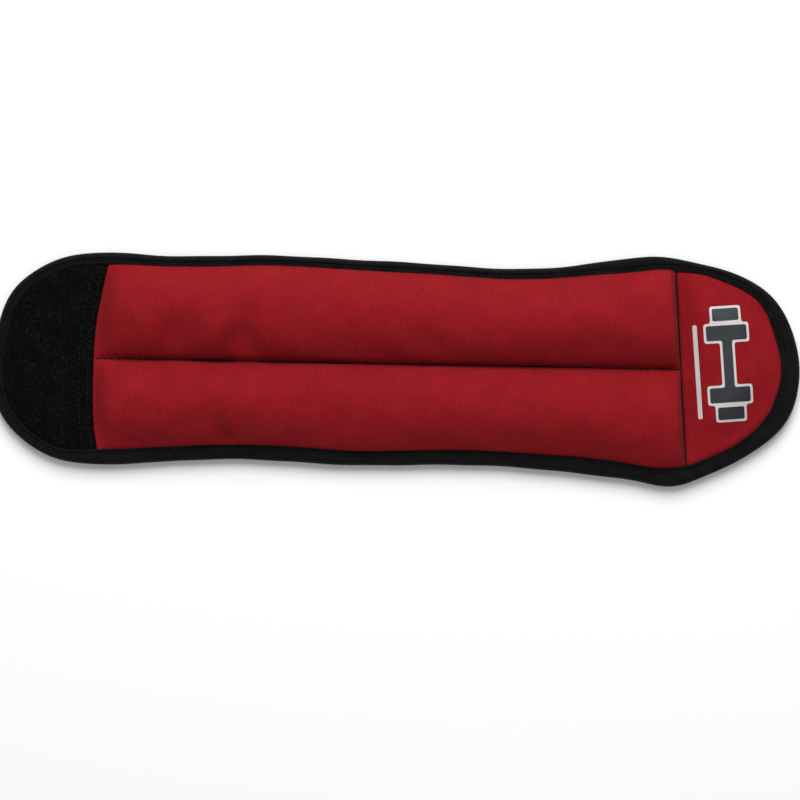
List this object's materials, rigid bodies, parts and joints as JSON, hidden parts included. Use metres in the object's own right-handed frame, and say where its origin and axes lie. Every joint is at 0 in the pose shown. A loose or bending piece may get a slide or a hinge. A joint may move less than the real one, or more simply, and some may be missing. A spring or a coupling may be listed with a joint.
{
  "type": "ankle cuff weight",
  "caption": "Soft wrap-around ankle weight: a long padded strap with two shot-filled channels, bound edges, and hook and loop ends that close round the leg.",
  "frame": {"origin": "centre of the laid-out cuff's footprint, at the plane of its back, which lies against the leg", "axes": "+X along the cuff from the loop end to the hook end, +Y across it, +Z out of its face, away from the leg"},
  "size_m": [0.3786, 0.1076, 0.0202],
  "materials": {
    "face_fabric": "matt knitted nylon",
    "lining_fabric": "matt foam-backed knit",
    "binding_tape": "ribbed woven tape",
    "thread": "twisted polyester",
    "pouch_skin": "closely woven nylon",
    "iron_shot": "loose iron grains",
    "loop_pile": "brushed loop pile",
    "foam": "open-cell foam sheet",
    "hook_tape": "moulded hooks on woven tape",
    "print_white": "printed ink",
    "print_dark": "printed ink"
  },
  "bodies": {
    "segment_3": {"face_panel_3": "face_fabric", "lining_3": "lining_fabric", "binding_3": "binding_tape", "binding_thread_3": "thread", "centre_thread_3": "thread", "pouch_3_rear": "pouch_skin", "pouch_3_front": "pouch_skin", "shot_3": "iron_shot"},
    "segment_4": {"face_panel_4": "face_fabric", "lining_4": "lining_fabric", "binding_4": "binding_tape", "binding_thread_4": "thread", "centre_thread_4": "thread", "pouch_4_rear": "pouch_skin", "pouch_4_front": "pouch_skin", "shot_4": "iron_shot"},
    "segment_5": {"face_panel_5": "face_fabric", "lining_5": "lining_fabric", "binding_5": "binding_tape", "binding_thread_5": "thread", "centre_thread_5": "thread", "pouch_5_rear": "pouch_skin", "pouch_5_front": "pouch_skin", "shot_5": "iron_shot"},
    "segment_2": {"face_panel_2": "face_fabric", "lining_2": "lining_fabric", "binding_2": "binding_tape", "binding_thread_2": "thread", "centre_thread_2": "thread", "pouch_2_rear": "pouch_skin", "pouch_2_front": "pouch_skin", "shot_2": "iron_shot"},
    "segment_1": {"face_panel_1": "face_fabric", "lining_1": "lining_fabric", "binding_1": "binding_tape", "binding_thread_1": "thread", "centre_thread_1": "thread", "pouch_1_rear": "pouch_skin", "pouch_1_front": "pouch_skin", "shot_1": "iron_shot"},
    "loop_end": {"loop_panel": "loop_pile", "loop_end_foam": "foam", "loop_end_lining": "lining_fabric", "loop_end_binding": "binding_tape", "loop_end_binding_thread": "thread", "loop_seam_thread": "thread"},
    "hook_end": {"end_panel": "face_fabric", "hook_end_lining": "lining_fabric", "hook_tape": "hook_tape", "hook_tape_thread": "thread", "hook_end_binding": "binding_tape", "hook_end_binding_thread": "thread", "end_seam_thread": "thread", "print_white": "print_white", "print_dark": "print_dark"}
  },
  "joints": [
    {"name": "wrap_right_inner", "type": "hinge", "parent": "segment_3", "child": "segment_4", "pos_m": [0.0245, 0, 0], "axis": [0, 1, 0], "range_deg": [0, 60]},
    {"name": "wrap_right_outer", "type": "hinge", "parent": "segment_4", "child": "segment_5", "pos_m": [0.079, 0, 0], "axis": [0, 1, 0], "range_deg": [0, 60]},
    {"name": "wrap_left_inner", "type": "hinge", "parent": "segment_3", "child": "segment_2", "pos_m": [-0.03, 0, 0], "axis": [0, -1, 0], "range_deg": [0, 60]},
    {"name": "wrap_left_outer", "type": "hinge", "parent": "segment_2", "child": "segment_1", "pos_m": [-0.0845, 0, 0], "axis": [0, -1, 0], "range_deg": [0, 60]},
    {"name": "loop_end_wrap", "type": "hinge", "parent": "segment_1", "child": "loop_end", "pos_m": [-0.139, 0, 0], "axis": [0, -1, 0], "range_deg": [0, 70.52]},
    {"name": "hook_flap", "type": "hinge", "parent": "segment_5", "child": "hook_end", "pos_m": [0.1335, 0, 0.0036], "axis": [0, 1, 0], "range_deg": [-60, 49.5]}
  ],
  "couplings": [
    {"joint": "wrap_right_outer", "follows": "wrap_right_inner", "ratio": 1},
    {"joint": "wrap_left_inner", "follows": "wrap_right_inner", "ratio": 1},
    {"joint": "wrap_left_outer", "follows": "wrap_right_inner", "ratio": 1},
    {"joint": "loop_end_wrap", "follows": "wrap_right_inner", "ratio": 1.175}
  ]
}
